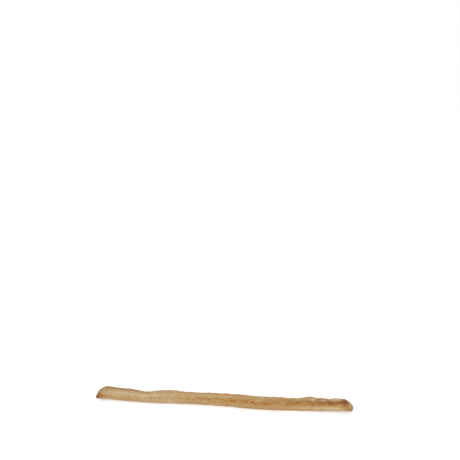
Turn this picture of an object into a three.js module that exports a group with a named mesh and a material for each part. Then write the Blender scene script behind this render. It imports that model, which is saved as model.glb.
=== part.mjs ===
// A grissini breadstick: a thin strip of dough, stretched by hand, cut at both ends and baked crisp.
// It lies on its underside. Millimetres, +Z up, X along the stick, -Y towards its front side.
import * as THREE from "three";
import { mergeVertices } from "three/addons/utils/BufferGeometryUtils.js";

const { clamp, degToRad, lerp, radToDeg } = THREE.MathUtils;

// Driving dimensions of the strip
const LENGTH = 219.3; // along the middle of the underside
const WIDTH = 13;
const HEIGHT = 9.9; // before the tray flattens the underside
const SQUARENESS = 2.7; // exponent of the section: 2 is an ellipse, more is a box with round corners
const FLATTENED = 0.3; // depth of dough that the tray presses flat

// Fat and thin places left by the stretching. Places and reaches are shares of the length, and
// wider and taller are the shares that the strip gains there.
const SWELLS = [
  { at: 0.02, reach: 0.09, wider: 0.05, taller: -0.06 },
  { at: 0.19, reach: 0.042, wider: -0.08, taller: -0.14 },
  { at: 0.252, reach: 0.042, wider: 0.07, taller: 0.075 },
  { at: 0.4, reach: 0.06, wider: -0.05, taller: -0.035 },
  { at: 0.6, reach: 0.1, wider: 0.03, taller: 0.03 },
  { at: 0.777, reach: 0.038, wider: -0.04, taller: -0.055 },
  { at: 0.95, reach: 0.06, wider: 0.05, taller: -0.06 },
  { at: 0.99, reach: 0.022, wider: 0, taller: -0.06 },
];

// Sideways bends of the strip as it lay on the tray, in millimetres towards the back.
const BENDS = [
  { at: 0, reach: 0.12, back: -1.4 },
  { at: 0.2, reach: 0.11, back: -3.2 },
  { at: 0.66, reach: 0.13, back: -4.3 },
  { at: 1, reach: 0.1, back: 2 },
];

// The cut ends. Slant is how far the cut goes in for each millimetre towards the back, lean how far
// its top edge is set back, and power how that set-back grows with height. Edge is the rounding of
// the rim, sole the share of it that is left at the underside, and face the share of the section
// that is flat. Curl is how far the tip lifts off the tray within its share of the length.
const LEFT_END = {
  slant: 0.48, lean: 3.2, power: 1.3, edge: 1, sole: 0.1, face: 0.86, curl: 1.9, curlReach: 0.15,
};
const RIGHT_END = {
  slant: -0.05, lean: 8.6, power: 2.1, edge: 2.4, sole: 0.1, face: 0.76, curl: 1.3, curlReach: 0.25,
};
const CUT_REACH = 26; // length of strip that a cut drags out of square
const CRUMB = { cell: 2.4, depth: 0.3 }; // torn crumb of the two cut faces

// Crust relief. Turns are angles round the strip in degrees: 0 at the back, 90 on top, 180 at the front.
// Uneven dough, as noise of two sizes: the cell along the strip, cells around it, and its depth.
const UNEVEN = [
  { cell: 9, around: 2.2, depth: 0.26 },
  { cell: 5.2, around: 3.4, depth: 0.16 },
];
// Torn edge of the top skin along each side: its turn at the left and the right end of the front,
// how it sways, and how far it stands proud over the hollow below it.
const LIP = { left: 196, right: 166, sway: 6, swayCell: 24, proud: 0.42, spread: 9 };
const UNDERCUT = { below: 19, depth: 0.28, spread: 12 };
const TEAR_SEED = { front: 3.5, back: 7.5 };
// Raised places: share of the length, turn, half length in millimetres, half angle and height.
// Lower front corners of the two ends, where the cutter pressed the dough out square
const CORNERS = [
  { at: 0, turn: 212, long: 7, round: 15, height: 1.7 },
  { at: 1, turn: 219, long: 7, round: 13, height: 0.25 },
];
// Bubbles under the skin
const BLISTERS = [
  { at: 0.887, turn: 110, long: 4.8, round: 22, height: 1.25 },
  { at: 0.955, turn: 92, long: 6, round: 30, height: 0.8 },
  { at: 0.838, turn: 98, long: 5.2, round: 20, height: 1.95 },
  { at: 0.808, turn: 88, long: 4.6, round: 26, height: 0.75 },
  { at: 0.772, turn: 84, long: 3.2, round: 20, height: 0.45 },
  { at: 0.606, turn: 82, long: 5, round: 24, height: 0.55 },
  { at: 0.51, turn: 78, long: 3.4, round: 22, height: 0.45 },
  { at: 0.705, turn: 38, long: 5.2, round: 20, height: 0.6 },
  { at: 0.44, turn: 30, long: 4, round: 18, height: 0.5 },
  { at: 0.3, turn: 52, long: 5, round: 22, height: 0.55 },
  { at: 0.115, turn: 46, long: 3.8, round: 20, height: 0.5 },
];

// Fineness of the surface
const SIDES = 44;
const BODY_ROWS = 84;
const FACE_RINGS = 4;
const EDGE_ROWS = 4;

const LATTICE = { x: 127.1, y: 311.7, z: 74.7, gain: 43758.5453 }; // scatters the noise's values

const TOASTED_CRUST = { color: 0xba966c, roughness: 0.8, metalness: 0 };

// Smooth bump of height 1 at 0 that has died away by about 2.
function bell(t) {
  return Math.exp(-t * t);
}

// Sum of one field of a table of bumps, at a share of the length.
function sumOfBumps(table, field, share) {
  return table.reduce((sum, bump) => sum + bump[field] * bell((share - bump.at) / bump.reach), 0);
}

// Repeatable value from 0 to 1 at a whole-numbered place.
function latticeValue(i, j, k) {
  const wave = Math.sin(i * LATTICE.x + j * LATTICE.y + k * LATTICE.z) * LATTICE.gain;
  return wave - Math.floor(wave);
}

// Smooth noise from -1 to 1, blended from the eight lattice values around a place.
function noise(x, y, z) {
  const [i, j, k] = [x, y, z].map(Math.floor);
  const [u, v, w] = [x - i, y - j, z - k].map((f) => f * f * (3 - 2 * f));
  const alongX = (dj, dk) => lerp(latticeValue(i, j + dj, k + dk), latticeValue(i + 1, j + dj, k + dk), u);
  const alongY = (dk) => lerp(alongX(0, dk), alongX(1, dk), v);
  return 2 * lerp(alongY(0), alongY(1), w) - 1;
}

// Radius of the rounded-box section in one direction.
function sectionRadius(turn, halfWidth, halfHeight) {
  const across = Math.abs(Math.cos(turn) / halfWidth) ** SQUARENESS;
  const up = Math.abs(Math.sin(turn) / halfHeight) ** SQUARENESS;
  return (across + up) ** (-1 / SQUARENESS);
}

// Ridge and undercut where the top skin of the dough has torn along one side.
// Below is the angle from the lip's mean line, positive towards the underside.
function tornLip(along, below, seed) {
  const offset = below - LIP.sway * noise(along / LIP.swayCell, seed, 0);
  const ridge = LIP.proud * bell(offset / LIP.spread);
  return ridge - UNDERCUT.depth * bell((offset - UNDERCUT.below) / UNDERCUT.spread);
}

// How far the crust stands proud of the plain section, in millimetres.
function relief(along, turn) {
  const degrees = radToDeg(turn);
  const frontLip = lerp(LIP.left, LIP.right, along / LENGTH);
  const fromBack = degrees > 180 ? degrees - 360 : degrees;
  const backLip = 180 - frontLip;
  let height = tornLip(along, degrees - frontLip, TEAR_SEED.front);
  height += tornLip(along, backLip - fromBack, TEAR_SEED.back);
  for (const { cell, around, depth } of UNEVEN) {
    height += depth * noise(along / cell, around * Math.cos(turn), around * Math.sin(turn));
  }
  for (const { at, turn: middle, long, round, height: rise } of [...CORNERS, ...BLISTERS]) {
    height += rise * bell((along - at * LENGTH) / long) * bell((degrees - middle) / round);
  }
  return height;
}

// How far a cut end is set in at a place on its section.
function cutInset(end, across, up, halfHeight) {
  const level = clamp((up + halfHeight) / (2 * halfHeight), 0, 1);
  return end.slant * across + end.lean * level ** end.power;
}

// How far a cut end's rounded rim is pushed out again towards the underside. The push is let go
// over three times the rim's depth.
function rimPush(end, fromEnd, up, halfHeight) {
  const level = clamp((up + halfHeight) / (2 * halfHeight), 0, 1);
  const letGo = end.edge * clamp((4 * end.edge - fromEnd) / (3 * end.edge), 0, 1);
  return (1 - end.sole) * (1 - level) * Math.min(fromEnd, letGo);
}

// Rise of a tip that curls off the tray.
function curlRise(end, shareFromEnd) {
  return end.curl * clamp(1 - shareFromEnd / end.curlReach, 0, 1) ** 2;
}

// Point of the crust at a place along the strip and a turn round it. Spread shrinks the section
// towards its middle, which makes the faces and rims of the ends.
function crustPoint(along, turn, spread) {
  const share = along / LENGTH;
  const halfWidth = (WIDTH / 2) * (1 + sumOfBumps(SWELLS, "wider", share));
  const halfHeight = (HEIGHT / 2) * (1 + sumOfBumps(SWELLS, "taller", share));
  const radius = spread * (sectionRadius(turn, halfWidth, halfHeight) + relief(along, turn));
  const across = radius * Math.cos(turn);
  const up = radius * Math.sin(turn);

  const nearLeft = clamp(1 - along / CUT_REACH, 0, 1) ** 2;
  const nearRight = clamp(1 - (LENGTH - along) / CUT_REACH, 0, 1) ** 2;
  const crumb = (1 - spread) * CRUMB.depth * noise(across / CRUMB.cell, up / CRUMB.cell, share);
  const leftInset = nearLeft * cutInset(LEFT_END, across, up, halfHeight);
  const rightInset = nearRight * cutInset(RIGHT_END, across, up, halfHeight);
  const leftPush = rimPush(LEFT_END, along, up, halfHeight);
  const rightPush = rimPush(RIGHT_END, LENGTH - along, up, halfHeight);

  const x = along + leftInset - leftPush - rightInset + rightPush + crumb;
  const y = across + sumOfBumps(BENDS, "back", share);
  const lift = curlRise(LEFT_END, share) + curlRise(RIGHT_END, 1 - share);
  const z = Math.max(0, up + halfHeight - FLATTENED + lift);
  return new THREE.Vector3(x, y, z);
}

// Rings of one end, from the middle of its cut face out over the rounded rim: the share of the
// section's radius and the depth in from the end.
function endRings({ edge, face }) {
  const rings = [];
  for (let i = 0; i < FACE_RINGS; i++) {
    rings.push({ spread: (face * i) / FACE_RINGS, depth: 0 });
  }
  for (let i = 0; i < EDGE_ROWS; i++) {
    const swing = (i / EDGE_ROWS) * (Math.PI / 2);
    rings.push({ spread: lerp(face, 1, Math.sin(swing)), depth: edge * (1 - Math.cos(swing)) });
  }
  return rings;
}

// Outline of the strip from the left end's middle to the right end's, as points of spread and place.
function stripOutline() {
  const left = endRings(LEFT_END).map(({ spread, depth }) => new THREE.Vector2(spread, depth));
  const right = endRings(RIGHT_END).map(({ spread, depth }) => new THREE.Vector2(spread, LENGTH - depth));
  const body = [];
  for (let i = 0; i <= BODY_ROWS; i++) {
    body.push(new THREE.Vector2(1, lerp(LEFT_END.edge, LENGTH - RIGHT_END.edge, i / BODY_ROWS)));
  }
  return [...left, ...body, ...right.reverse()];
}

// The closed crust: a turned blank of the outline, with each of its points moved to the crust.
function crustGeometry() {
  const outline = stripOutline();
  const blank = new THREE.LatheGeometry(outline, SIDES);
  blank.deleteAttribute("normal");
  blank.deleteAttribute("uv");
  const position = blank.getAttribute("position");
  for (let i = 0; i < position.count; i++) {
    const side = Math.floor(i / outline.length) % SIDES;
    const { x: spread, y: along } = outline[i % outline.length];
    const point = crustPoint(along, degToRad((360 * side) / SIDES), spread);
    position.setXYZ(i, point.x, point.y, point.z);
  }
  const crust = mergeVertices(blank);
  crust.computeBoundingBox();
  const middle = crust.boundingBox.getCenter(new THREE.Vector3());
  crust.translate(-middle.x, -middle.y, 0);
  crust.computeVertexNormals();
  return crust;
}

const breadstick = new THREE.Mesh(crustGeometry(), new THREE.MeshStandardMaterial(TOASTED_CRUST));
breadstick.name = "breadstick";

const grissini = new THREE.Group();
grissini.add(breadstick);

export default grissini;
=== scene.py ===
"""Looks of a grissini breadstick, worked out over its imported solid.

Sizes are in millimetres and angles in degrees until a mesh is made, which is in metres. A place on
the crust is given by how far along the strip it lies from the left end, and by its turn round the
strip: 0 at the back, 90 on top, 180 at the front and 270 underneath.
"""

import itertools
import logging
import math
from collections.abc import Sequence
from dataclasses import dataclass
from enum import Enum
from typing import Any

import bpy
import numpy as np
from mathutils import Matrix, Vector


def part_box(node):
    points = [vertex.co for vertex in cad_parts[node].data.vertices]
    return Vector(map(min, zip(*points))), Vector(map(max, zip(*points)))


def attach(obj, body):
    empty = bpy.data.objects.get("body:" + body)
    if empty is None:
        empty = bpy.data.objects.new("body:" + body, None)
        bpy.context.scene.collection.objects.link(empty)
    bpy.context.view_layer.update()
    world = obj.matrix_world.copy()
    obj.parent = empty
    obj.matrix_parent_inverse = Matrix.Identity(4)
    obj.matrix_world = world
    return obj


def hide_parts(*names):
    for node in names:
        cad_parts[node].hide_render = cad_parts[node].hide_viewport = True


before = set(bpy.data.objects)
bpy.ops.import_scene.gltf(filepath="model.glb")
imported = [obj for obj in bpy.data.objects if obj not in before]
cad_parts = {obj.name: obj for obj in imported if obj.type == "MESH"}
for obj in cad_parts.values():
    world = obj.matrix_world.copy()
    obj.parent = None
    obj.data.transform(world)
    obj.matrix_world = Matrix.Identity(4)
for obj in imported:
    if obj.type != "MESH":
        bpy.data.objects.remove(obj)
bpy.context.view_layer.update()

LOG = logging.getLogger("breadstick")
Array = np.ndarray
Colour = tuple[float, float, float, float]
Pair = tuple[float, float]
Triple = tuple[float, float, float]
Stops = tuple[tuple[float, Colour], ...]  # places on a colour ramp, each with its colour
Cells = Triple  # cells to a millimetre along X, Y and Z
Table = tuple[Pair, ...]  # shares of the stick's length, each with the value there
Lumps = tuple[Triple, ...]  # a lump's length, lumps round the strip, height

MM = 0.001  # metres in a millimetre
NODE = "breadstick"
BODY = "root"
BAKE_MAP = "OFBake"
LATTICE = (127.1, 311.7, 74.7)  # scatters the noise's values
LATTICE_GAIN = 43758.5453
WHITE: Colour = (1.0, 1.0, 1.0, 1.0)


def screen_colour(*parts: float) -> Colour:
    """Turns a colour as a screen shows it into the linear colour that a shader takes.

    Args:
        parts: Red, green and blue from 0 to 255.

    Returns:
        Linear red, green and blue, and an alpha of 1.
    """
    low, toe, offset, power = 0.04045, 12.92, 0.055, 2.4
    shares = [part / 255 for part in parts]
    linear = [s / toe if s <= low else ((s + offset) / (1 + offset)) ** power for s in shares]
    return (*linear, 1.0)


def bell(t: Array) -> Array:
    """Smooth bump of height 1 at 0 that has died away by about 2."""
    return np.exp(-t * t)


def rise(t: Array, low: float, high: float) -> Array:
    """Climbs from 0 at low to 1 at high with level ends, or falls where low is the greater."""
    part = np.clip((t - low) / (high - low), 0, 1)
    return part * part * (3 - 2 * part)


def read_off(share: Array, table: Table) -> Array:
    """Value at shares of the length, on straight lines between a table's own."""
    return np.interp(share, *zip(*table))


def lattice_value(i: Array, j: Array, k: Array) -> Array:
    """Repeatable value from 0 to 1 at a whole-numbered place: the fraction of a huge sine wave."""
    wave = np.sin(i * LATTICE[0] + j * LATTICE[1] + k * LATTICE[2]) * LATTICE_GAIN
    return wave - np.floor(wave)


def noise(x: Array, y: Array, z: Array) -> Array:
    """Smooth noise from -1 to 1: the eight lattice values round a place, blended by smooth weights.

    Args:
        x: First coordinate, in cells.
        y: Second coordinate, in cells.
        z: Third coordinate, in cells.

    Returns:
        The noise at each place, of the shape that the coordinates make together.
    """
    whole = [np.floor(axis) for axis in (x, y, z)]
    weight = [rise(axis - base, 0, 1) for axis, base in zip((x, y, z), whole)]
    total = 0.0
    for corner in itertools.product((0, 1), repeat=3):
        share = math.prod(w if step else 1 - w for w, step in zip(weight, corner))
        total = total + share * lattice_value(*(base + step for base, step in zip(whole, corner)))
    return 2 * total - 1


class Side(Enum):
    """The two sides along which the top skin is torn, each with the row of noise its tear follows."""

    FRONT = 3.5
    BACK = 7.5


class Blend(Enum):
    """How one colour is laid over another."""

    MIX = "MIX"
    MULTIPLY = "MULTIPLY"


@dataclass(frozen=True)
class Sites:
    """Places on the crust as arrays that fit together: along, turn, and share of the radius."""

    along: Array
    degrees: Array
    spread: Array

    @property
    def cos(self) -> Array:
        """How far each turn points to the back, from -1 to 1."""
        return np.cos(np.radians(self.degrees))

    @property
    def sin(self) -> Array:
        """How far each turn points up, from -1 to 1."""
        return np.sin(np.radians(self.degrees))


@dataclass(frozen=True)
class Spots:
    """Round spots scattered one to a cell over a sheet that is rolled into a tube.

    Each has its own value from 0 to 1. Its radius, in cells, grows with that value. It doesn't show
    where the value is under one bound, and shows in full over the other.
    """

    seed: float
    wrap: int
    radius: float
    growth: float
    hidden: float
    shown: float
    favoured: float = 0.0

    def at(self, u: Array, v: Array, favour: Array | float = 0.0) -> Array:
        """Rounded top of the nearest spot: one less the square of its distance in radii.

        Args:
            u: Coordinate along the tube, in cells.
            v: Coordinate round the tube, in cells.
            favour: Where more of the spots show, from 0 to 1.

        Returns:
            Height from 0 to 1 at each place.
        """
        cell_u, cell_v = np.floor(u), np.floor(v)
        nearest = np.full(np.broadcast(u, v).shape, np.inf)
        value = np.zeros_like(nearest)
        for step_u, step_v in itertools.product((-1, 0, 1), repeat=2):
            i, j = cell_u + step_u, np.mod(cell_v + step_v, self.wrap)
            in_u, in_v, own = (lattice_value(i, j, self.seed + draw) for draw in range(3))
            distance = np.hypot(u - (i + in_u), v - (cell_v + step_v + in_v))
            value = np.where(distance < nearest, own, value)
            nearest = np.minimum(distance, nearest)
        top = np.clip(1 - (nearest / (self.radius + self.growth * value)) ** 2, 0, 1)
        return top * rise(value + self.favoured * favour, self.hidden, self.shown)


@dataclass(frozen=True)
class Swell:
    """A fat or thin place: where it is and how far it reaches, in shares of the length, and its gains."""

    at: float
    reach: float
    wider: float
    taller: float


@dataclass(frozen=True)
class Bend:
    """A sideways bend: its place and reach, in shares of the length, and its size towards the back."""

    at: float
    reach: float
    back: float


@dataclass(frozen=True)
class Patch:
    """An oval place on the crust: share of the length, turn, half length, half angle and strength."""

    at: float
    turn: float
    long: float
    round: float
    strength: float


def patch_table(*rows: tuple[float, float, float, float, float]) -> tuple[Patch, ...]:
    """Patches from rows of their numbers."""
    return tuple(Patch(*row) for row in rows)


@dataclass(frozen=True)
class Stripe:
    """A band along the crust: its turn at each end, half angle, and pairs of share and strength."""

    left: float
    right: float
    reach: float
    strengths: Table

    def at(self, share: Array, degrees: Array) -> Array:
        """Strength read off along the stick, times a bell of the angle from the band's middle."""
        apart = np.mod(degrees - (self.left + (self.right - self.left) * share) + 180, 360) - 180
        return read_off(share, self.strengths) * bell(apart / self.reach)


@dataclass(frozen=True)
class CutEnd:
    """A cut end: slant towards the back, set-back of the top, rim rounding, flat share and tip's curl.

    The set-back grows with a power of the height, and dies away over its reach. The rim is rounded
    less at the sole, where the dough was pressed flat.
    """

    slant: float
    lean: float
    power: float
    edge: float
    sole: float
    face: float
    curl: float
    curl_reach: float
    reach: float = 26.0

    def inset(self, from_end: Array, across: Array, up: Array, half_height: Array) -> Array:
        """How far the cut sets places in, less the share of the rim's rounding that is pushed back out.

        That share grows towards the sole, and is let go over three times the rim's depth.

        Args:
            from_end: Distance along the strip from this end.
            across: Distance from the section's middle towards the back.
            up: Distance above the section's middle.
            half_height: Half height of the section.

        Returns:
            The move along the strip, away from this end.
        """
        level = np.clip((up + half_height) / (2 * half_height), 0, 1)
        near = np.clip(1 - from_end / self.reach, 0, 1) ** 2
        let_go = self.edge * np.clip((4 * self.edge - from_end) / (3 * self.edge), 0, 1)
        sharper = (1 - self.sole) * (1 - level) * np.minimum(from_end, let_go)
        return near * (self.slant * across + self.lean * level**self.power) - sharper

    def lift(self, share_from_end: Array) -> Array:
        """Rise of the tip off the tray: a parabola that starts at the curl's reach."""
        return self.curl * np.clip(1 - share_from_end / self.curl_reach, 0, 1) ** 2


@dataclass(frozen=True)
class StickForm:
    """The stretched strip of dough, with the same driving sizes as the solid."""

    length: float = 219.3
    width: float = 13.0
    height: float = 9.9
    squareness: float = 2.7
    flattened: float = 0.3
    crumb_cell: float = 2.4
    crumb_depth: float = 0.3
    lip_left: float = 196.0
    lip_right: float = 166.0
    lip_sway: float = 6.0
    lip_sway_cell: float = 24.0
    lip_proud: float = 0.42
    lip_spread: float = 9.0
    undercut_below: float = 19.0
    undercut_depth: float = 0.28
    undercut_spread: float = 12.0
    left: CutEnd = CutEnd(
        slant=0.48, lean=3.2, power=1.3, edge=1.0, sole=0.1, face=0.86, curl=1.9, curl_reach=0.15
    )
    right: CutEnd = CutEnd(
        slant=-0.05, lean=8.6, power=2.1, edge=2.4, sole=0.1, face=0.76, curl=1.3, curl_reach=0.25
    )
    swells: tuple[Swell, ...] = (
        Swell(0.02, 0.09, 0.05, -0.06),
        Swell(0.19, 0.042, -0.08, -0.14),
        Swell(0.252, 0.042, 0.07, 0.075),
        Swell(0.4, 0.06, -0.05, -0.035),
        Swell(0.6, 0.1, 0.03, 0.03),
        Swell(0.777, 0.038, -0.04, -0.055),
        Swell(0.95, 0.06, 0.05, -0.06),
        Swell(0.99, 0.022, 0.0, -0.06),
    )
    bends: tuple[Bend, ...] = (
        Bend(0.0, 0.12, -1.4),
        Bend(0.2, 0.11, -3.2),
        Bend(0.66, 0.13, -4.3),
        Bend(1.0, 0.1, 2.0),
    )
    uneven: Lumps = ((9.0, 2.2, 0.26), (5.2, 3.4, 0.16))
    blisters: tuple[Patch, ...] = patch_table(
        (0.887, 110, 4.8, 22, 1.25), (0.955, 92, 6.0, 30, 0.8), (0.838, 98, 5.2, 20, 1.95),
        (0.808, 88, 4.6, 26, 0.75), (0.772, 84, 3.2, 20, 0.45), (0.606, 82, 5.0, 24, 0.55),
        (0.51, 78, 3.4, 22, 0.45), (0.705, 38, 5.2, 20, 0.6), (0.44, 30, 4.0, 18, 0.5),
        (0.3, 52, 5.0, 22, 0.55), (0.115, 46, 3.8, 20, 0.5),
    )
    corners: tuple[Patch, ...] = patch_table((0.0, 212, 7.0, 15, 1.7), (1.0, 219, 7.0, 13, 0.25))

    def half_sizes(self, share: Array) -> tuple[Array, Array]:
        """Half width and half height: the plain strip times one plus the bells of its swells."""
        gains = sum(bell((share - s.at) / s.reach)[..., None] * (s.wider, s.taller) for s in self.swells)
        return self.width / 2 * (1 + gains[..., 0]), self.height / 2 * (1 + gains[..., 1])

    def below_lip(self, sites: Sites, side: Side) -> Array:
        """Angle from the torn edge of the top skin on one side, positive towards the underside.

        The edge runs straight from its turn at the left end to that at the right, and sways with noise.

        Args:
            sites: Places on the crust.
            side: The side whose torn edge is meant.

        Returns:
            The signed angle at each place.
        """
        turned, share = sites.degrees, sites.along / self.length
        if side is Side.BACK:
            turned = 180 - np.where(turned > 180, turned - 360, turned)
        mean = self.lip_left + (self.lip_right - self.lip_left) * share
        return turned - mean - self.lip_sway * noise(sites.along / self.lip_sway_cell, side.value, 0)

    def lumps(self, sites: Sites, table: Lumps) -> Array:
        """Sum of smooth noises round the strip, each drawn out to its own length along it."""
        along, cos, sin = sites.along, sites.cos, sites.sin
        return sum(high * noise(along / long, n * cos, n * sin) for long, n, high in table)

    def patches(self, sites: Sites, table: Sequence[Patch]) -> Array:
        """Sum of oval bells: each patch's strength times a bell along and a bell round the strip."""
        away = ((p, sites.along - p.at * self.length, sites.degrees - p.turn) for p in table)
        return sum(p.strength * bell(long / p.long) * bell(turn / p.round) for p, long, turn in away)

    def relief(self, sites: Sites) -> Array:
        """Height over the plain section: torn lips, their undercuts, uneven dough, corners and blisters.

        Args:
            sites: Places on the crust.

        Returns:
            The height at each place.
        """
        height = self.lumps(sites, self.uneven)
        for side in Side:
            below = self.below_lip(sites, side)
            height = height + self.lip_proud * bell(below / self.lip_spread)
            hollow = bell((below - self.undercut_below) / self.undercut_spread)
            height = height - self.undercut_depth * hollow
        return height + self.patches(sites, self.corners + self.blisters)

    def points(self, sites: Sites, extra: Array, dig: Array) -> Array:
        """Points of the crust: a rounded-box section carried along the bent strip and cut at its ends.

        The section's radius is (|cos/half width|^n + |sin/half height|^n)^(-1/n), plus the relief.

        Args:
            sites: Places on the crust. The share of the radius is under 1 on the faces of the ends.
            extra: Further relief over the solid's own.
            dig: Depth dug into the end faces.

        Returns:
            Points in millimetres, with the coordinates in the last axis.
        """
        along, spread, share = sites.along, sites.spread, sites.along / self.length
        half_width, half_height = self.half_sizes(share)
        wide = np.abs(sites.cos / half_width) ** self.squareness
        tall = np.abs(sites.sin / half_height) ** self.squareness
        radius = (wide + tall) ** (-1 / self.squareness) + self.relief(sites) + extra
        across, up = spread * radius * sites.cos, spread * radius * sites.sin
        crumb = (1 - spread) * self.crumb_depth
        crumb = crumb * noise(across / self.crumb_cell, up / self.crumb_cell, share)
        x = along + crumb + np.where(share < 0.5, dig, -dig)
        x = x + self.left.inset(along, across, up, half_height)
        x = x - self.right.inset(self.length - along, across, up, half_height)
        y = across + sum(b.back * bell((share - b.at) / b.reach) for b in self.bends)
        z = up + half_height - self.flattened + self.left.lift(share) + self.right.lift(1 - share)
        return np.stack(np.broadcast_arrays(x, y, np.maximum(z, 0)), axis=-1)


@dataclass(frozen=True)
class Marks:
    """What stretching and baking left at each place, mostly from 0 to 1, or a weight for each kind."""

    tear: Array | float = 0.0
    crack: Array | float = 0.0
    pits: Array | float = 0.0
    bubbles: Array | float = 0.0
    streaks: Array | float = 0.0
    wrinkles: Array | float = 0.0
    ragged: Array | float = 0.0

    def weighed(self, weights: "Marks") -> Array:
        """Sum of the marks, each kind times its weight."""
        return sum(value * getattr(weights, kind) for kind, value in vars(self).items())


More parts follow.
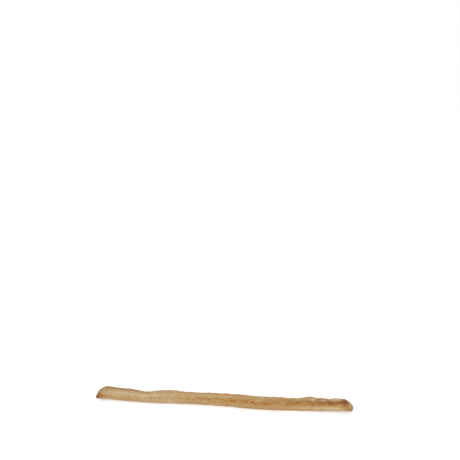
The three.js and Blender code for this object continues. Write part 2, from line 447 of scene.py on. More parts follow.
@dataclass(frozen=True)
class BakedSkin:
    """Fine relief and browning of the crust, on top of the strip's own form."""

    form: StickForm
    heights: Marks = Marks(
        crack=-0.14, pits=-0.22, bubbles=0.3, streaks=0.06, wrinkles=0.08, ragged=0.22
    )
    torn_above: float = 13.0
    torn_reach: float = 17.0
    crack_above: float = 14.0
    crack_reach: float = 3.0
    crack_cell: float = 6.5
    ragged_above: float = 8.0
    ragged_reach: float = 5.0
    ragged_cell: float = 1.9
    spot_cell: float = 2.3
    bubbles: Spots = Spots(11, 18, 0.32, 0.2, hidden=0.55, shown=0.9, favoured=0.6)
    pits: Spots = Spots(31, 17, 0.14, 0.22, hidden=0.6, shown=0.85, favoured=0.45)
    streaks: Lumps = ((15.0, 8.0, 1.0), (7.0, 13.0, 0.6))
    wrinkle_sway: Lumps = ((6.0, 2.0, 0.8),)
    wrinkle_wave: float = 2.4
    neck_at: float = 0.205
    neck_reach: float = 0.05
    base: Table = ((0, 0.36), (0.3, 0.35), (0.5, 0.43), (0.75, 0.43), (1, 0.4))
    torn: Table = ((0, 0), (0.1, 0.06), (0.3, 0.1), (0.45, 0.19), (0.6, 0.25), (1, 0.2))
    dotted: Table = ((0.05, 0.08), (0.3, 0.24), (0.42, 0.34), (0.8, 0.36), (0.88, 0.38), (0.905, 0.1))
    dots_off_tear: float = 0.15
    usual_bubble: float = 0.3
    # Painted shade: browning added in cracks and pits.
    crack_and_pit_shade: Marks = Marks(crack=0.05, pits=0.06)
    drawn_toast: Marks = Marks(wrinkles=0.05, streaks=-0.02)
    stripes: tuple[Stripe, ...] = (
        Stripe(92, 104, 26, (
            (0, 0.36), (0.13, 0.38), (0.17, 0.16), (0.22, 0.1), (0.4, 0.15),
            (0.55, 0.18), (0.64, 0.1), (0.72, 0.02), (0.86, 0), (0.93, -0.12),
        )),
        Stripe(157, 157, 14, ((0.03, 0), (0.12, -0.13), (0.2, -0.2), (0.28, -0.08), (0.4, 0))),
        Stripe(188, 180, 10, ((0, 0.08), (0.1, 0.05), (0.17, 0), (0.22, -0.12), (0.29, -0.1), (0.37, 0))),
        Stripe(142, 145, 9, ((0.6, 0), (0.7, 0.08), (0.8, 0.16), (0.86, 0.34), (0.92, 0.44), (1, 0.36))),
        Stripe(172, 169, 9, ((0.66, 0), (0.76, 0.08), (0.86, 0.2), (0.93, 0.16), (0.96, 0.08), (1, 0))),
        Stripe(122, 122, 12, ((0.64, 0), (0.72, 0.14), (0.78, 0.07), (0.82, 0))),
        Stripe(104, 104, 12, ((0.73, 0), (0.76, 0.1), (0.79, 0.08), (0.83, 0.02), (0.85, 0))),
        # Painted light: a paler lower side near the right end.
        Stripe(202, 196, 21, ((0.7, 0), (0.8, -0.08), (0.86, -0.14), (0.93, -0.26), (0.97, -0.14), (1, 0))),
        Stripe(157, 160, 6, ((0.84, 0), (0.87, 0.09), (0.93, 0.05), (0.96, 0.14), (0.985, 0))),
        Stripe(212, 212, 9, ((0.55, 0), (0.62, 0.14), (0.8, 0.14), (0.86, 0.05), (0.92, 0))),
        Stripe(22, 22, 15, ((0, 0.05), (0.25, -0.14), (0.45, 0), (0.7, -0.12), (0.9, 0.1), (1, 0.2))),
        Stripe(338, 344, 18, ((0, 0.05), (0.2, -0.1), (0.55, 0.03), (0.8, -0.12), (1, 0))),
        Stripe(270, 270, 34, ((0, 0.12), (0.4, 0.2), (0.6, 0.16), (1, 0.2))),
    )
    browner_or_paler: tuple[Patch, ...] = patch_table(
        (0.92, 165, 2.2, 6, 0.16), (0.018, 187, 1.0, 3.5, 0.5), (0.032, 187, 1.4, 3.5, 0.5),
        (0.87, 121, 1.6, 7, 0.36), (0.838, 104, 4.4, 9, 0.2), (0.936, 162, 3.8, 6, 0.16),
        (0.96, 30, 6.0, 26, 0.22), (0.02, 330, 4.0, 24, 0.25), (0.055, 172, 9.0, 10, -0.14),
        (0.25, 208, 14.0, 12, -0.1), (0.46, 134, 16.0, 24, -0.08), (0.912, 113, 2.4, 11, -0.25),
        (0.842, 134, 2.2, 8, -0.22), (0.814, 104, 4.0, 10, 0.1), (0.857, 128, 3.5, 22, -0.1),
        (0.97, 134, 3.0, 9, 0.14),
    )
    arch: Patch = Patch(0.8885, 131, 5.0, 16, 0.55)
    arch_pale: float = 0.3
    arch_heart: float = 0.6
    arch_ring: float = 0.4
    arch_left_cut: float = 0.6
    left_browned: float = 0.63
    left_foot: float = 0.48
    left_face: float = 0.6
    left_reach: Pair = (2.8, 2.0)  # high up, and what is added low down
    right_browned: float = 0.78
    right_brow: float = 0.16
    right_foot: float = 0.1
    right_top: float = 0.25
    right_tip: float = 0.22
    right_tip_at: Triple = (-0.4, 0.52, 0.4)  # across, level and reach
    right_reach: Pair = (5.6, 3.2)  # low down, and what is taken off high up
    floured: tuple[Patch, ...] = patch_table(
        (0.852, 125, 2.0, 8, 0.5), (0.889, 132, 3.8, 4, 0.35), (0.792, 92, 1.6, 9, 0.6),
        (0.95, 78, 8.0, 15, 0.6), (0.968, 107, 4.0, 8, 0.4), (0.53, 84, 6.0, 13, 0.6),
        (0.655, 85, 3.0, 11, 0.6), (0.3, 66, 10, 14, 0.5), (0.62, 46, 30, 20, 0.4),
    )
    haze: float = 0.13
    haze_cell: float = 5.0
    haze_round: float = 4.0
    haze_row: float = 9.5
    bubbles_bare: float = 0.3
    # Greying: painted shade at the left end and along the left part's top-back edge, and greyer crust in
    # places towards the right.
    greyed_and_shaded_stripes: tuple[Stripe, ...] = (
        Stripe(126, 140, 16, (
            (0.62, 0), (0.72, 0.5), (0.78, 0.7), (0.86, 0.65), (0.955, 0.5), (0.98, 0.1), (1, 0),
        )),
        # Painted shade along the top-back edge of the left part.
        Stripe(84, 84, 28, ((0, 0.95), (0.14, 0.95), (0.18, 0.45), (0.25, 0.2), (0.32, 0))),
        Stripe(88, 88, 20, ((0.8, 0), (0.87, 0.35), (0.96, 0.35), (1, 0))),
        # Painted shade on the left end.
        Stripe(150, 150, 70, ((0, 0.6), (0.012, 0.5), (0.035, 0.1), (0.06, 0))),
        Stripe(184, 184, 30, ((0.96, 0), (0.985, 0.3), (1, 0.5))),
    )

    def marks(self, sites: Sites) -> Marks:
        """Works out every kind of mark at places on the crust.

        Bubbles and pits are scattered spots with a round top, more of them near the torn edges.
        Streaks are noise drawn out along the strip. Wrinkles are waves across the necked place.

        Args:
            sites: Places on the crust.

        Returns:
            The marks, each as an array.
        """
        form, along = self.form, sites.along
        tear, crack, ragged = 0.0, 0.0, 0.0
        for side in Side:
            below = form.below_lip(sites, side)
            tear = tear + bell((below + self.torn_above) / self.torn_reach)
            opened = rise(noise(along / self.crack_cell, side.value + 2, 0), 0, 0.6)
            crack = crack + opened * bell((below + self.crack_above) / self.crack_reach)
            jagged = noise(along / self.ragged_cell, side.value + 9, 0)
            ragged = ragged + bell((below + self.ragged_above) / self.ragged_reach) * jagged
        tear = np.clip(tear, 0, 1)
        bubbles, pits = (
            spots.at(along / self.spot_cell, sites.degrees / 360 * spots.wrap, tear)
            for spots in (self.bubbles, self.pits)
        )
        waves = along / self.wrinkle_wave + form.lumps(sites, self.wrinkle_sway)
        neck = bell((along / form.length - self.neck_at) / self.neck_reach)
        wrinkles = np.sin(2 * math.pi * waves) * (neck * rise(sites.sin, -0.5, 0.3))
        return Marks(tear, crack, pits, bubbles, form.lumps(sites, self.streaks), wrinkles, ragged)

    def toast(self, sites: Sites, marks: Marks) -> Array:
        """Browning from 0, pale dough, to 1, nearly burnt.

        It is the sum of a base that grows to the right, the torn bands, stripes along the stick,
        single places, wrinkles, streaks and the arched blister. One stripe is painted light, which
        makes the lower side paler near the right end. Bubbles show on it, and cracks and pits as
        painted shade, less where it is dark already. Near each end it passes over into that end's
        browning.

        Args:
            sites: Places on the crust.
            marks: The marks at those places.

        Returns:
            The browning at each place.
        """
        share = sites.along / self.form.length
        base = read_off(share, self.base) + marks.tear * read_off(share, self.torn)
        stripes = sum(s.at(share, sites.degrees) for s in self.stripes)
        places = self.form.patches(sites, self.browner_or_paler) + stripes
        body = base + places + marks.weighed(self.drawn_toast) + self.arched_toast(sites)
        near_tear = self.dots_off_tear + (1 - self.dots_off_tear) * marks.tear
        dots = read_off(share, self.dotted) * near_tear * (marks.bubbles - self.usual_bubble)
        # Dots on the bubbles, and painted shade in cracks and pits.
        body = body + (dots + marks.weighed(self.crack_and_pit_shade)) * rise(body, 1.05, 0.6)
        for near, browned in (self.left_toast(sites), self.right_toast(sites)):
            body = body + near * (browned - body)
        return body

    def arched_toast(self, sites: Sites) -> Array:
        """Browning of the arched blister: the upper part of a ring, less a bell for its pale middle.

        Args:
            sites: Places on the crust.

        Returns:
            What it adds to the browning at each place.
        """
        arch, middle = self.arch, self.arch.at * self.form.length
        wide = (sites.degrees - arch.turn) / arch.round
        far = np.hypot((sites.along - middle) / arch.long, wide)
        upper = rise(wide + self.arch_left_cut * (sites.along < middle), 0.5, 0)
        ring = arch.strength * bell((far - 1) / self.arch_ring) * upper
        return ring - self.arch_pale * bell(far / self.arch_heart)

    def left_toast(self, sites: Sites) -> tuple[Array, Array]:
        """Browning of the left end, which grows downwards: sharply on the rim, gently on the face.

        Args:
            sites: Places on the crust.

        Returns:
            How much of it takes over, as a bell that is wider low down, and the browning itself.
        """
        level, on_rim = sites.spread * sites.sin, rise(sites.spread, 0.9, 1)
        high_reach, low_reach = self.left_reach
        near = bell(sites.along / (high_reach + low_reach * rise(level, 0.1, -0.3)))
        on_face = (1 - on_rim) * self.left_face * rise(level, 0.8, -0.8)
        low = on_rim * rise(level, 0.2, -0.05) + on_face
        return near, self.left_browned + self.left_foot * low

    def right_toast(self, sites: Sites) -> tuple[Array, Array]:
        """Browning of the right end: a dark brow and foot, a paler top, and a dark tip on its face.

        Args:
            sites: Places on the crust.

        Returns:
            How much of it takes over, as a bell that is narrower high up, and the browning itself.
        """
        level, across = sites.spread * sites.sin, sites.spread * sites.cos
        low_reach, less_reach = self.right_reach
        reach = low_reach - less_reach * rise(level, 0.35, 0.85)
        near = bell((self.form.length - sites.along) / reach)
        brow = self.right_brow * rise(level, -0.3, 0.4)
        foot = self.right_foot * rise(level, -0.35, -0.75)
        top = self.right_top * rise(level, 0.75, 0.97)
        tip_across, tip_level, tip_reach = self.right_tip_at
        tip = bell(np.hypot(across - tip_across, level - tip_level) / tip_reach)
        tip = tip * rise(sites.spread, 0.99, 0.9)
        return near, self.right_browned + brow + foot - top + self.right_tip * tip

    def flour(self, sites: Sites, marks: Marks) -> Array:
        """Dusting of flour from 0 to 1: chosen patches and a broken haze on top, none on the end faces.

        Args:
            sites: Places on the crust.
            marks: The marks at those places.

        Returns:
            The dusting at each place.
        """
        broken = noise(sites.along / self.haze_cell, self.haze_round * sites.cos, self.haze_row)
        haze = rise(sites.sin, 0.2, 0.9) * rise(broken, -0.3, 0.8)
        dusting = self.form.patches(sites, self.floured) + self.haze * haze
        return np.clip(dusting - self.bubbles_bare * marks.bubbles, 0, 1) * rise(sites.spread, 0.88, 1)

    def greying_and_shade(self, sites: Sites) -> Array:
        """Greyer crust from 0 to 1, the sum of stripes: painted shade at the left end and its top-back
        edge.
        """
        share = sites.along / self.form.length
        return np.clip(sum(s.at(share, sites.degrees) for s in self.greyed_and_shaded_stripes), 0, 1)


class Wire:
    """A shader value for use in Python expressions, each of which adds a Math node."""

    def __init__(self, sheet: "ShaderSheet", socket: bpy.types.NodeSocket | None) -> None:
        """Keeps the sheet that new nodes go on and the socket that gives the value."""
        self.sheet, self.socket = sheet, socket

    def math(self, operation: str, first: Any, second: Any) -> "Wire":
        """Adds a Math node of two values or wires."""
        return self.sheet.node("ShaderNodeMath", {"operation": operation}, {0: first, 1: second})

    def __add__(self, other: Any) -> "Wire":
        """This value plus another."""
        return self.math("ADD", self, other)

    __radd__ = __add__

    def __sub__(self, other: Any) -> "Wire":
        """This value less another."""
        return self.math("SUBTRACT", self, other)

    def __rsub__(self, other: Any) -> "Wire":
        """Another value less this one."""
        return self.math("SUBTRACT", other, self)

    def __mul__(self, other: Any) -> "Wire":
        """This value times another."""
        return self.math("MULTIPLY", self, other)

    __rmul__ = __mul__

    def between(self, low: float, high: float) -> "Wire":
        """Smooth climb from 0 where the value is low to 1 where it is high."""
        settings = {"interpolation_type": "SMOOTHSTEP"}
        return self.sheet.node("ShaderNodeMapRange", settings, {0: self, 1: low, 2: high})


@dataclass(frozen=True)
class Mottle:
    """A noise in a finish: its cells, the number and strength of finer noises, and what it moves.

    The sway is how far it moves the browning, the shade or the roughness. The relief is its share of
    the bump's depth.
    """

    cells: Cells
    detail: float
    rough: float = 0.55
    sway: float = 0.0
    relief: float = 1.0


class ShaderSheet:
    """A material's node tree, with one method that adds any node."""

    def __init__(self, name: str) -> None:
        """Starts a material with an empty tree.

        Args:
            name: The material's name.
        """
        self.material = bpy.data.materials.new(name)
        self.material.use_nodes = True
        self.tree = self.material.node_tree
        self.tree.nodes.clear()

    def node(
        self, kind: str, settings: dict[str, Any], sockets: dict[Any, Any], output: int | str = 0
    ) -> Wire:
        """Adds a node, sets it up and feeds its sockets.

        Args:
            kind: Blender's type name of the node.
            settings: The node's own properties, and under "stops" the places and colours of a ramp.
            sockets: Values or wires by the input's name or number.
            output: The output that is wanted, by its name or number.

        Returns:
            The wanted output, as a wire.
        """
        made = self.tree.nodes.new(kind)
        for key, value in settings.items():
            if key == "stops":
                self.set_stops(made.color_ramp, value)
            else:
                setattr(made, key, value)
        for key, value in sockets.items():
            if isinstance(value, Wire):
                self.tree.links.new(value.socket, made.inputs[key])
            else:
                made.inputs[key].default_value = value
        return Wire(self, made.outputs[output] if made.outputs else None)

    @staticmethod
    def set_stops(ramp: bpy.types.ColorRamp, stops: Stops) -> None:
        """Gives a colour ramp its places and colours.

        Args:
            ramp: The ramp.
            stops: The places from 0 to 1, each with its colour.
        """
        while len(ramp.elements) < len(stops):
            ramp.elements.new(1.0)
        for element, (place, colour) in zip(ramp.elements, stops):
            element.position, element.color = place, colour

    def attribute(self, name: str) -> Wire:
        """Number that the mesh holds under a name."""
        return self.node("ShaderNodeAttribute", {"attribute_name": name}, {}, "Fac")

    def cells(self, scale: Cells) -> Wire:
        """The object's own coordinates, in cells."""
        place = {"Vector": self.node("ShaderNodeTexCoord", {}, {}, "Object")}
        return self.node("ShaderNodeMapping", {}, {**place, "Scale": tuple(n / MM for n in scale)})

    def grain(self, mottle: Mottle) -> Wire:
        """Noise from 0 to 1 in the object's own coordinates."""
        finer = {"Scale": 1.0, "Detail": mottle.detail, "Roughness": mottle.rough}
        return self.node("ShaderNodeTexNoise", {}, {"Vector": self.cells(mottle.cells), **finer}, "Fac")

    def spots(self, scale: Cells, warp: float) -> tuple[Wire, Wire]:
        """Spots that lie one in each cell, pulled out of round by noise.

        Args:
            scale: Cells to a millimetre along each axis.
            warp: How far noise shifts a place, in cells.

        Returns:
            The distance to the nearest spot, in cells, and that spot's own value from 0 to 1.
        """
        place, finer, octaves = self.cells(scale), 1.3, 3.0
        waves = {"Vector": place, "Scale": finer, "Detail": octaves}
        swirl = self.node("ShaderNodeTexNoise", {}, waves, "Color")
        shift = {0: swirl, 1: (warp, warp, warp), 2: place}
        moved = self.node("ShaderNodeVectorMath", {"operation": "MULTIPLY_ADD"}, shift)
        distance = self.node("ShaderNodeTexVoronoi", {}, {"Vector": moved, "Scale": 1.0}, "Distance")
        return distance, Wire(self, distance.socket.node.outputs["Color"])

    def ramp(self, value: Any, stops: Stops) -> Wire:
        """Colour for a value from 0 to 1."""
        return self.node("ShaderNodeValToRGB", {"stops": stops}, {0: value}, "Color")

    def layer(self, share: Any, under: Any, over: Any, blend: Blend = Blend.MIX) -> Wire:
        """Lays one colour over another.

        Args:
            share: How much of the upper colour shows, from 0 to 1.
            under: The lower colour.
            over: The upper colour.
            blend: How the upper colour acts.

        Returns:
            The blended colour.
        """
        settings = {"data_type": "RGBA", "blend_type": blend.value, "clamp_result": True}
        return self.node("ShaderNodeMix", settings, {0: share, 6: under, 7: over}, 2)

    def surface(self, sockets: dict[str, Any], height: Wire | None = None, depth: float = 0.0) -> None:
        """Ends the tree in a Principled shader.

        Args:
            sockets: Values or wires of the shader's inputs.
            height: Fine height for a bump, or nothing.
            depth: Depth of that bump in millimetres.
        """
        if height is not None:
            bump = {"Height": height, "Distance": depth * MM, "Strength": 1.0}
            sockets = {**sockets, "Normal": self.node("ShaderNodeBump", {}, bump)}
        shader = self.node("ShaderNodeBsdfPrincipled", {}, sockets)
        self.node("ShaderNodeOutputMaterial", {}, {"Surface": shader})


@dataclass(frozen=True)
class CrustFinish:
    """Dry baked crust: its colours by browning, the flour on it and the crumb of its cut ends."""

    browning: Stops = (
        (0.0, screen_colour(206, 186, 154)),
        (0.25, screen_colour(194, 170, 131)),
        (0.4, screen_colour(186, 154, 109)),
        (0.55, screen_colour(180, 138, 84)),
        (0.7, screen_colour(178, 124, 57)),
        (0.82, screen_colour(156, 104, 55)),
        (0.92, screen_colour(126, 82, 46)),
        (1.0, screen_colour(88, 54, 33)),
    )
    crumb: Stops = (
        (0.0, screen_colour(164, 120, 76)),
        (0.45, screen_colour(200, 164, 118)),
        (1.0, screen_colour(222, 196, 156)),
    )
    flour: Colour = screen_colour(226, 212, 190)
    grey_and_shade_colour: Colour = screen_colour(151, 120, 92)
    shade: Colour = screen_colour(176, 120, 66)
    cloudy: Mottle = Mottle((0.16, 0.2, 0.2), 2, sway=0.3)
    speckle: Mottle = Mottle((0.9, 1.1, 1.1), 3, sway=0.34, relief=0.5)
    drawn: Mottle = Mottle((0.12, 1.3, 1.3), 2, sway=0.2, relief=0.35)
    fine: Mottle = Mottle((3.2, 3.2, 3.2), 4, 0.65, sway=0.3, relief=0.8)
    blister_cells: Cells = (0.9, 1.2, 1.2)
    blister_warp: float = 1.1
    blister_ragged: float = 0.3
    blister_edge: Pair = (0.62, 0.12)
    blister_weight: Pair = (0.2, 1.5)  # the least, and more by its own value
    blister_sway: float = 0.55
    blister_relief: float = 0.35
    usual_toast: float = 0.36
    usual_blister: float = 0.36
    grey_and_shade_cover: Pair = (0.35, 0.8)  # the least, and more by speckle
    painted_bump_shade: Triple = (0.33, 0.9, 0.5)  # the least, by speckle, by fine
    dusting: Triple = (1.6, 0.8, 1.2)  # by flour, by speckle, by fine
    dusting_bare: float = 1.15
    dusting_edge: Pair = (0.15, 0.85)
    dusting_cover: float = 0.7
    crumb_toast: float = 0.76
    # By hollow, which is painted shade in the crumb's pores, and by browning.
    crumb_baked_and_shaded: Pair = (0.6, 1.6)  # by hollow, by toast
    crumb_sway: Pair = (0.9, 0.5)  # by speckle, by fine
    hollow_shade: float = 0.3
    roughness: float = 0.78
    roughened: Triple = (0.12, 0.12, 0.1)  # by dusting, by fine, less by toast
    gloss: float = 0.12
    bump_depth: float = 0.4

    def material(self) -> bpy.types.Material:
        """Builds the material.

        The mesh's browning is swayed by noise of four sizes, one of them drawn out along the stick,
        and by ragged blisters, which are darker than the crust where it is browned and paler where
        it isn't. It picks a colour of the ramp. Over it come greyer crust, which is painted shade at
        the left end, painted shade and light that follow the bump, flour, the crumb of the cut ends
        with painted shade in its pores, and painted shade in the hollows.

        Returns:
            The finished material.
        """
        sheet = ShaderSheet("baked_crust")
        names = ("toast", "flour", "crumb", "hollow", "dull")
        toast, flour, crumb, hollow, dull = (sheet.attribute(name) for name in names)
        mottles = (self.cloudy, self.speckle, self.drawn, self.fine)
        grains = [sheet.grain(mottle) for mottle in mottles]
        _, speckle, drawn, fine = grains
        away, own = sheet.spots(self.blister_cells, self.blister_warp)
        least, by_own = self.blister_weight
        ragged = (away + self.blister_ragged * (fine - 0.5)).between(*self.blister_edge)
        blisters = ragged * (least + by_own * own)
        browning = toast
        for mottle, grain in zip(mottles, grains):
            browning = browning + mottle.sway * (grain - 0.5)
        spotted = self.blister_sway * (toast - self.usual_toast) * (blisters - self.usual_blister)
        colour = sheet.ramp(browning + spotted, self.browning)
        # Greyer crust laid over: painted shade at the left end and its top-back edge, greyer places to the
        # right.
        least, by_speckle = self.grey_and_shade_cover
        colour = sheet.layer(dull * (least + by_speckle * speckle), colour, self.grey_and_shade_colour)
        # Painted shade and light that follows the bump: darker where the speckle and fine noise, which also
        # raise the bump, are low, and lighter where they are high.
        least, by_speckle, by_fine = self.painted_bump_shade
        light = least + by_speckle * speckle + by_fine * fine
        colour = sheet.layer(1.0, colour, light, Blend.MULTIPLY)
        by_flour, by_speckle, by_fine = self.dusting
        dusting = flour * by_flour + by_speckle * speckle + by_fine * fine - self.dusting_bare
        dusting = dusting.between(*self.dusting_edge) * self.dusting_cover
        colour = sheet.layer(dusting, colour, self.flour)
        # The crumb is darker in its pores, which is painted shade, at the foot of the right end's face, and
        # where it is browned.
        by_hollow, by_toast = self.crumb_baked_and_shaded
        baked = by_hollow * hollow + by_toast * (toast - self.crumb_toast)
        by_speckle, by_fine = self.crumb_sway
        torn = 0.5 + by_speckle * (speckle - 0.5) + by_fine * (fine - 0.5) - baked
        colour = sheet.layer(crumb, colour, sheet.ramp(torn, self.crumb))
        colour = sheet.layer(self.hollow_shade * hollow, colour, self.shade, Blend.MULTIPLY)
        by_dusting, by_fine, by_toast = self.roughened
        roughness = self.roughness + by_dusting * dusting + by_fine * (fine - 0.5) - by_toast * toast
        height = self.fine.relief * fine + self.drawn.relief * drawn
        height = height + self.speckle.relief * speckle + self.blister_relief * blisters
        looks = {"Base Color": colour, "Roughness": roughness, "Specular IOR Level": self.gloss}
        sheet.surface(looks, height, self.bump_depth)
        return sheet.material


@dataclass(frozen=True)
class GrainFinish:
    """Coarse semolina, from pale to toasted by each grain's own shade."""

    shades: Stops = (
        (0.0, screen_colour(226, 200, 156)),
        (0.5, screen_colour(206, 164, 104)),
        (1.0, screen_colour(158, 102, 54)),
    )
    mottle: Mottle = Mottle((3.0, 3.0, 3.0), 2, sway=0.35)
    roughness: Pair = (0.5, 0.25)  # the least, and more by the mottling
    gloss: float = 0.4
    bump_depth: float = 0.05

    def material(self) -> bpy.types.Material:
        """Builds the material: each grain's shade, mottled by noise, picks its colour.

        Returns:
            The finished material.
        """
        sheet = ShaderSheet("toasted_semolina")
        mottle = sheet.grain(self.mottle)
        shade = sheet.attribute("shade") + self.mottle.sway * (mottle - 0.5)
        colour, (least, by_mottle) = sheet.ramp(shade, self.shades), self.roughness
        roughness = least + by_mottle * mottle
        looks = {"Base Color": colour, "Roughness": roughness, "Specular IOR Level": self.gloss}
        sheet.surface(looks, mottle, self.bump_depth)
        return sheet.material


@dataclass(frozen=True)
class FloorFinish:
    """Matt white studio floor that is lit a little from below."""

    colour: Colour = (0.5, 0.5, 0.5, 1.0)
    glow: float = 0.55
    roughness: float = 0.7
    mottle: Mottle = Mottle((0.02, 0.02, 0.02), 2, sway=0.1)

    def material(self) -> bpy.types.Material:
        """Builds the material: plain white, with a roughness that varies a little.

        Returns:
            The finished material.
        """
        sheet = ShaderSheet("white_floor")
        roughness = self.roughness + self.mottle.sway * sheet.grain(self.mottle)
        looks = {"Base Color": self.colour, "Roughness": roughness}
        sheet.surface({**looks, "Emission Color": WHITE, "Emission Strength": self.glow})
        return sheet.material


def mesh_object(name: str, points: Array, faces: Sequence[Array]) -> bpy.types.Object:
    """Makes a smooth mesh object at the origin from whole arrays.

    Args:
        name: Name of the object and its mesh.
        points: Points in millimetres, one to a row.
        faces: Arrays of corner numbers, one face to a row.

    Returns:
        The new object, linked to the scene.
    """
    mesh = bpy.data.meshes.new(name)
    mesh.from_pydata(points * MM, [], [face for group in faces for face in group.tolist()])
    mesh.polygons.foreach_set("use_smooth", np.ones(len(mesh.polygons), bool))
    made = bpy.data.objects.new(name, mesh)
    bpy.context.scene.collection.objects.link(made)
    return made


def set_number(piece: bpy.types.Object, name: str, values: Array) -> None:
    """Stores a number under a name on each of a mesh's points."""
    layer = piece.data.attributes.new(name, "FLOAT", "POINT")
    layer.data.foreach_set("value", np.asarray(values, np.float32).ravel())


def dress(piece: bpy.types.Object, material: bpy.types.Material) -> None:
    """Gives a piece its finish and lets it ride on the part's body.

    Args:
        piece: The piece.
        material: Its finish.
    """
    piece.data.materials.append(material)
    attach(piece, BODY)


@dataclass
class Crust:
    """The whole crust as one closed surface, from the left end's middle to the right end's.

    At the right end the top skin was drawn down over the cut, as far as a slanting line across it.
    """

    form: StickForm
    skin: BakedSkin
    finish: CrustFinish
    columns: int = 132
    body_rows: int = 640
    face_rings: int = 30
    edge_rows: int = 7
    crowding: float = 0.25
    pore_cell: float = 1.35
    pore_depth: float = 0.6
    pores: Spots = Spots(51, 1000, 0.2, 0.34, hidden=0.1, shown=0.7)
    pores_from: Pair = (40.0, 80.0)  # cells of the two ends' own spots
    crumb_within: Pair = (0.98, 0.9)
    shell: float = 0.3
    fold_slant: float = 0.33
    fold_level: float = 0.34
    fold_blur: float = 0.14
    pit_shade: float = 0.45
    crack_shade: float = 0.4
    foot_shade: float = 0.5

    def end_rings(self, end: CutEnd) -> Array:
        """Rings of one end from its middle outwards, as rows of spread and depth.

        The face's rings are evenly spaced, and the rim is a quarter of an ellipse.

        Args:
            end: The cut end.

        Returns:
            One row for each ring, without the pole at the middle.
        """
        spread = np.linspace(0, end.face, self.face_rings + 1)[1:-1]
        swing = np.linspace(0, math.pi / 2, self.edge_rows + 1)[:-1]
        rim = end.face + (1 - end.face) * np.sin(swing)
        depth = end.edge * (1 - np.cos(swing))
        rings = np.concatenate([spread, rim])
        return np.column_stack([rings, np.concatenate([np.zeros_like(spread), depth])])

    def grid(self) -> Sites:
        """Every place on the crust but the poles: rows from left to right, columns round the strip.

        Columns are closer together at the sides: each turn is less a share of its double's sine.

        Returns:
            Places and shares of the radius by row, and turns by column.
        """
        form = self.form
        left, right = self.end_rings(form.left), self.end_rings(form.right)[::-1]
        body = np.linspace(form.left.edge, form.length - form.right.edge, self.body_rows)
        along = np.concatenate([left[:, 1], body, form.length - right[:, 1]])
        spread = np.concatenate([left[:, 0], np.ones(self.body_rows), right[:, 0]])
        even = np.linspace(0, 2 * math.pi, self.columns, endpoint=False)
        turns = np.mod(np.degrees(even - self.crowding * np.sin(2 * even)), 360)
        return Sites(along[:, None], turns[None, :], spread[:, None])

    def faces(self, rows: int) -> list[tuple[Array, Array]]:
        """Corner rows and columns of the quads between rows, and of the two fans that close the poles.

        Args:
            rows: Number of rows without the poles.

        Returns:
            Rows and columns of each group of faces. Row -1 is the left pole, and a row past the last
            is the right one. Columns run on past the last one instead of starting again, so that a
            map can be cut there.
        """
        side = np.arange(self.columns)[:, None]
        row, column = np.repeat(np.arange(rows - 1), self.columns)[:, None], np.tile(side, (rows - 1, 1))
        first, last = np.zeros_like(side), np.full_like(side, rows - 1)
        return [
            (row + (0, 0, 1, 1), column + (0, 1, 1, 0)),
            (first + (-1, 0, 0), side + (0, 1, 0)),
            (last + (1, 0, 0), side + (0, 0, 1)),
        ]

    def unfold(self, rows: Array, columns: Array, along: Array, spread: Array) -> Array:
        """Flat map of the crust: two strips of half the length each, and a disc for each end face.

        Args:
            rows: Corner rows, with -1 and one past the last for the poles.
            columns: Corner columns, which may run one past the last.
            along: Place along the strip of every row.
            spread: Spread of every row.

        Returns:
            Places in the unit square, one for each corner.
        """
        margin, strip, disc, half_section = 0.006, 0.37, 0.115, 5
        middle = len(along) // 2
        steps = np.hypot(np.diff(along), np.diff(spread) * half_section)
        run = np.concatenate([[0], np.cumsum(steps)])
        first, last = rows.min(1, keepdims=True), rows.max(1, keepdims=True)
        upper = first >= middle
        inner = np.clip(rows, 0, len(along) - 1)
        rim_left, rim_right = self.face_rings - 1, len(along) - self.face_rings
        start = np.where(upper, run[middle], run[rim_left])
        end = np.where(upper, run[rim_right], run[middle])
        across = margin + (1 - 2 * margin) * (run[inner] - start) / (end - start)
        up = margin + upper * (strip + margin) + strip * columns / self.columns
        on_left, on_right = last <= rim_left, first >= rim_right
        reach = np.where((rows < 0) | (rows >= len(along)), 0, spread[inner])
        turn = 2 * math.pi * columns / self.columns
        centre = np.where(on_right, 3 * disc + 2 * margin, disc + margin)
        high = 1 - disc - margin
        flat = on_left | on_right
        across = np.where(flat, centre + disc * reach * np.cos(turn), across)
        up = np.where(flat, high + disc * reach * np.sin(turn), up)
        return np.stack([across, up], -1).reshape(-1, 2)

    def place(self, sites: Sites) -> tuple[Array, dict[str, Array]]:
        """Points of the crust and the numbers that its finish reads.

        Args:
            sites: Places on the crust.

        Returns:
            Points in millimetres before the strip is centred, and the numbers by name.
        """
        marks, spread = self.skin.marks(sites), sites.spread
        on_right = sites.along > self.form.length / 2
        over = spread * (sites.sin - self.fold_slant * sites.cos) - self.fold_level
        folded = rise(over, -self.fold_blur, self.fold_blur) * on_right
        crumb = rise(spread, *self.crumb_within) * (1 - folded)
        reach = self.form.height / self.pore_cell * spread
        from_left, from_right = self.pores_from
        across = np.where(on_right, from_right, from_left) + reach * sites.cos
        pores = self.pores.at(across, from_left + reach * sites.sin) * crumb
        dig = crumb * self.shell + self.pore_depth * pores * rise(spread, 0, 0.1)
        extra = marks.weighed(self.skin.heights) * np.ones_like(spread)
        points = self.form.points(sites, extra, dig)
        foot = crumb * rise(spread * sites.sin, 0, -0.5) * on_right
        # Painted shade for the finish to lay in pits, cracks and the crumb's pores, and at the foot of the
        # right end's face.
        sunk = (self.pit_shade * marks.pits + self.crack_shade * marks.crack) * (1 - crumb)
        numbers = {
            "toast": self.skin.toast(sites, marks),
            "flour": self.skin.flour(sites, marks),
            "dull": self.skin.greying_and_shade(sites),
            "crumb": crumb,
            "hollow": np.clip(sunk + pores + self.foot_shade * foot, 0, 1),
        }
        return points, numbers

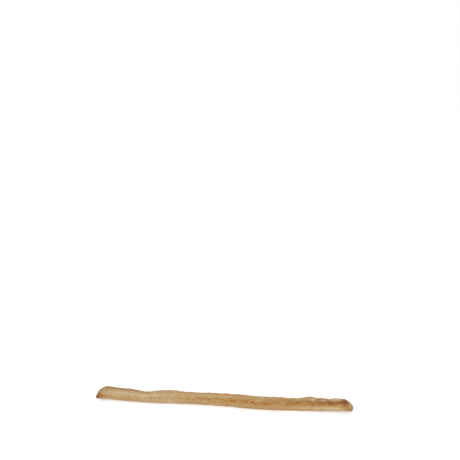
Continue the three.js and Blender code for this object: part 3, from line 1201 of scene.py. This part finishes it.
    def centre(self) -> Array:
        """Shift that sets the strip where its solid is: the solid's middle less the plain form's.

        Returns:
            The shift in millimetres, which is level.
        """
        zero = np.zeros(1)
        plain = self.form.points(self.grid(), zero, zero).reshape(-1, 3)
        low, high = (np.array(corner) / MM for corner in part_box(NODE))
        shift = (low + high) / 2 - (plain.min(0) + plain.max(0)) / 2
        return shift * (1, 1, 0)

    def build(self) -> bpy.types.Object:
        """Builds the mesh, its numbers and its flat map, and dresses it.

        Returns:
            The crust, in place of its solid.
        """
        grid, none = self.grid(), np.zeros((1, 1))
        points, numbers = self.place(grid)
        tips = Sites(np.array([[0.0], [self.form.length]]), none, none)
        poles, pole_numbers = self.place(tips)
        shape, count = points.shape[:2], points.shape[0] * points.shape[1]
        stacked = np.concatenate([points.reshape(-1, 3), poles.reshape(-1, 3)]) + self.centre()
        along, spread = grid.along.ravel(), grid.spread.ravel()
        groups, flat = [], []
        for rows, columns in self.faces(shape[0]):
            corners = rows * self.columns + columns % self.columns
            corners = np.where(rows < 0, count, np.where(rows == shape[0], count + 1, corners))
            groups.append(corners)
            flat.append(self.unfold(rows, columns, along, spread))
        crust = mesh_object("crust", stacked, groups)
        crust.data.uv_layers.new(name=BAKE_MAP).uv.foreach_set("vector", np.concatenate(flat).ravel())
        for name, values in numbers.items():
            whole = np.broadcast_to(values, shape).ravel()
            ends = np.broadcast_to(pole_numbers[name], (2, 1)).ravel()
            set_number(crust, name, np.concatenate([whole, ends]))
        dress(crust, self.finish.material())
        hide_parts(NODE)
        return crust


@dataclass
class SemolinaGrains:
    """Coarse semolina that stuck to the dough, thickest along its torn sides and lower edges."""

    crust: Crust
    finish: GrainFinish
    count: int = 2200
    tries_each: int = 14
    smallest: float = 0.08
    largest: float = 0.22
    large_rarity: float = 0.7
    squash: Pair = (0.7, 1.25)
    lumpiness: Pair = (0.7, 1.2)
    sunk: float = 0.75
    off_floor: float = 1.5
    bare_ends: Pair = (3.0, 4.0)
    edge_turns: Pair = (224.0, 316.0)
    edge_reach: float = 12.0
    edge_share: float = 0.3
    tear_share: float = 0.75
    clump_cell: float = 7.0
    clump_row: float = 21.5
    usual_shade: float = 0.55
    shade_spread: float = 0.18
    shade_by_toast: float = 0.9
    usual_toast: float = 0.45
    step: float = 0.2
    seed: int = 19

    @staticmethod
    def ball() -> tuple[Array, Array]:
        """Icosahedron of radius 1, from three golden rectangles: its faces join corners a side apart.

        Returns:
            The corners, and the faces as rows of corner numbers, turned outwards.
        """
        golden, side = (1 + math.sqrt(5)) / 2, 2
        flat = np.array([(s, t * golden, 0) for s in (-1, 1) for t in (-1, 1)])
        corners = np.concatenate([np.roll(flat, turn, axis=1) for turn in range(3)])
        near = np.isclose(np.linalg.norm(corners[:, None] - corners[None], axis=-1), side)
        triples = np.array(list(itertools.combinations(range(len(corners)), 3)))
        a, b, c = triples.T
        faces = triples[near[a, b] & near[b, c] & near[c, a]]
        a, b, c = (corners[column] for column in faces.T)
        inward = np.einsum("ij,ij->i", np.cross(b - a, c - a), a) < 0
        faces[inward] = faces[inward][:, ::-1]
        return corners / np.linalg.norm(corners[0]), faces

    def scatter(self, rng: np.random.Generator) -> Sites:
        """Draws places for the grains, kept more often where semolina gathers.

        Args:
            rng: Source of the seeded draws.

        Returns:
            Places on the crust.
        """
        form, tries = self.crust.form, self.tries_each * self.count
        bare_left, bare_right = self.bare_ends
        along = rng.uniform(bare_left, form.length - bare_right, tries)
        drawn = Sites(along, rng.uniform(0, 360, tries), np.ones(tries))
        tear = self.crust.skin.marks(drawn).tear * rise(along / form.length, 0.05, 0.5)
        edge = sum(bell((drawn.degrees - turn) / self.edge_reach) for turn in self.edge_turns)
        clumps = rise(noise(along / self.clump_cell, drawn.cos, self.clump_row), -0.5, 0.6)
        chance = (self.tear_share * tear + self.edge_share * edge) * clumps
        kept = np.flatnonzero(rng.uniform(0, 1, tries) < chance)[: self.count]
        return Sites(along[kept], drawn.degrees[kept], drawn.spread[kept])

    def build(self) -> bpy.types.Object:
        """Builds all grains as one mesh of lumpy icosahedra, each turned and squashed its own way.

        Each sits sunk into the crust, along the direction that is square to two short steps over it.

        Returns:
            The grains.
        """
        rng = np.random.default_rng(self.seed)
        sites = self.scatter(rng)
        at, further, round_it = (
            self.crust.place(Sites(sites.along + long, sites.degrees + turn, sites.spread))[0]
            for long, turn in ((0, 0), (self.step, 0), (0, self.step))
        )
        outward = -np.cross(further - at, round_it - at)
        outward /= np.linalg.norm(outward, axis=1, keepdims=True)
        corners, faces = self.ball()
        number, each = len(at), len(corners)
        size = self.smallest + (self.largest - self.smallest) * rng.power(self.large_rarity, number)
        shape = rng.uniform(*self.squash, (number, 1, 3))
        shape = shape * rng.uniform(*self.lumpiness, (number, each, 1))
        frames = np.linalg.qr(rng.normal(size=(number, 3, 3)))[0]
        frames *= np.sign(np.linalg.det(frames))[:, None, None]
        lumps = np.einsum("nij,nkj->nki", frames, corners[None] * shape) * size[:, None, None]
        middle = at + self.crust.centre() + outward * (size * (1 - self.sunk))[:, None]
        middle[:, 2] = np.maximum(middle[:, 2], self.off_floor * size)
        points = (middle[:, None, :] + lumps).reshape(-1, 3)
        numbered = (faces[None] + each * np.arange(number)[:, None, None]).reshape(-1, 3)
        grains = mesh_object("semolina_grains", points, [numbered])
        skin = self.crust.skin
        toast = self.shade_by_toast * (skin.toast(sites, skin.marks(sites)) - self.usual_toast)
        shade = np.clip(rng.normal(self.usual_shade, self.shade_spread, number) + toast, 0, 1)
        set_number(grains, "shade", np.repeat(shade, each))
        dress(grains, self.finish.material())
        return grains


@dataclass(frozen=True)
class SoftLight:
    """A square studio light: where it hangs, its side in metres and its power in watts."""

    name: str
    place: Triple
    side: float
    power: float


def towards(turn: float, tilt: float) -> Vector:
    """Direction from the stick, turned from its front to the right and tilted up, in radians."""
    level = math.cos(tilt)
    return Vector((math.sin(turn) * level, -math.cos(turn) * level, math.sin(tilt)))


@dataclass
class Studio:
    """White floor, soft light and a camera that looks at the stick as the photograph does."""

    floor: FloorFinish
    floor_side: float = 14.0
    sky: float = 1.0
    lights: tuple[SoftLight, ...] = (
        SoftLight("key_light", (0.7, -1.6, 0.75), 0.9, 4.5),
        SoftLight("back_light", (0.3, 1.6, 0.9), 0.9, 2.5),
    )
    frame_pixels: float = 460.0
    stick_pixel: Pair = (222.6, 400.1)
    stick_level: float = 4.5
    pixel_size: float = 0.863
    lens: float = 100.0
    sensor: float = 36.0
    elevation: float = 15.0
    azimuth: float = 12.5

    def lay_floor(self) -> None:
        """Lays a wide flat floor, a grid of two by two points."""
        half = self.floor_side / MM / 2
        points = np.array([(-half, -half, 0), (half, -half, 0), (half, half, 0), (-half, half, 0)])
        floor = mesh_object("studio_floor", points, [np.array([[0, 1, 2, 3]])])
        floor.data.materials.append(self.floor.material())

    def hang_lights(self) -> None:
        """Lights the whole room evenly, and hangs the soft lights so that they face the stick."""
        world = bpy.data.worlds.new("white_room")
        world.use_nodes = True
        world.node_tree.nodes["Background"].inputs["Strength"].default_value = self.sky
        world.node_tree.nodes["Background"].inputs["Color"].default_value = WHITE
        bpy.context.scene.world = world
        for light in self.lights:
            data = bpy.data.lights.new(light.name, "AREA")
            data.shape, data.size, data.energy = "SQUARE", light.side, light.power
            made = bpy.data.objects.new(light.name, data)
            made.location = light.place
            made.rotation_euler = (-Vector(light.place)).to_track_quat("-Z", "Y").to_euler()
            bpy.context.scene.collection.objects.link(made)

    def set_camera(self) -> None:
        """Sets the camera so that the stick's middle falls on its own pixel of the photograph's frame.

        It stands back until a pixel covers its size at the stick, and aims beside the stick by the
        angles of that pixel from the middle of the frame.
        """
        focal = self.frame_pixels * self.lens / self.sensor
        right, down = (pixel - self.frame_pixels / 2 for pixel in self.stick_pixel)
        turn, tilt = math.radians(self.azimuth), math.radians(self.elevation)
        aim = -towards(turn + math.atan2(right, focal), tilt - math.atan2(down, focal))
        data = bpy.data.cameras.new("photo_camera")
        data.lens, data.sensor_width = self.lens, self.sensor
        camera = bpy.data.objects.new("photo_camera", data)
        back = towards(turn, tilt) * (self.pixel_size * MM * focal)
        camera.location = Vector((0, 0, self.stick_level * MM)) + back
        camera.rotation_euler = aim.to_track_quat("-Z", "Y").to_euler()
        bpy.context.scene.collection.objects.link(camera)
        bpy.context.scene.camera = camera

    def build(self) -> None:
        """Sets up floor, lights, camera and plain colour rendering."""
        bpy.context.scene.view_settings.view_transform = "Standard"
        self.lay_floor()
        self.hang_lights()
        self.set_camera()


def main() -> None:
    """Builds the studio, the crust and its semolina, in that order, and reports each piece."""
    logging.basicConfig(level=logging.INFO)
    Studio(FloorFinish()).build()
    form = StickForm()
    crust = Crust(form, BakedSkin(form), CrustFinish())
    for part in (crust, SemolinaGrains(crust, GrainFinish())):
        piece = part.build()
        triangles = len(piece.data.loops) - 2 * len(piece.data.polygons)
        LOG.info("%s: %d triangles", piece.name, triangles)


if __name__ == "__main__":
    main()
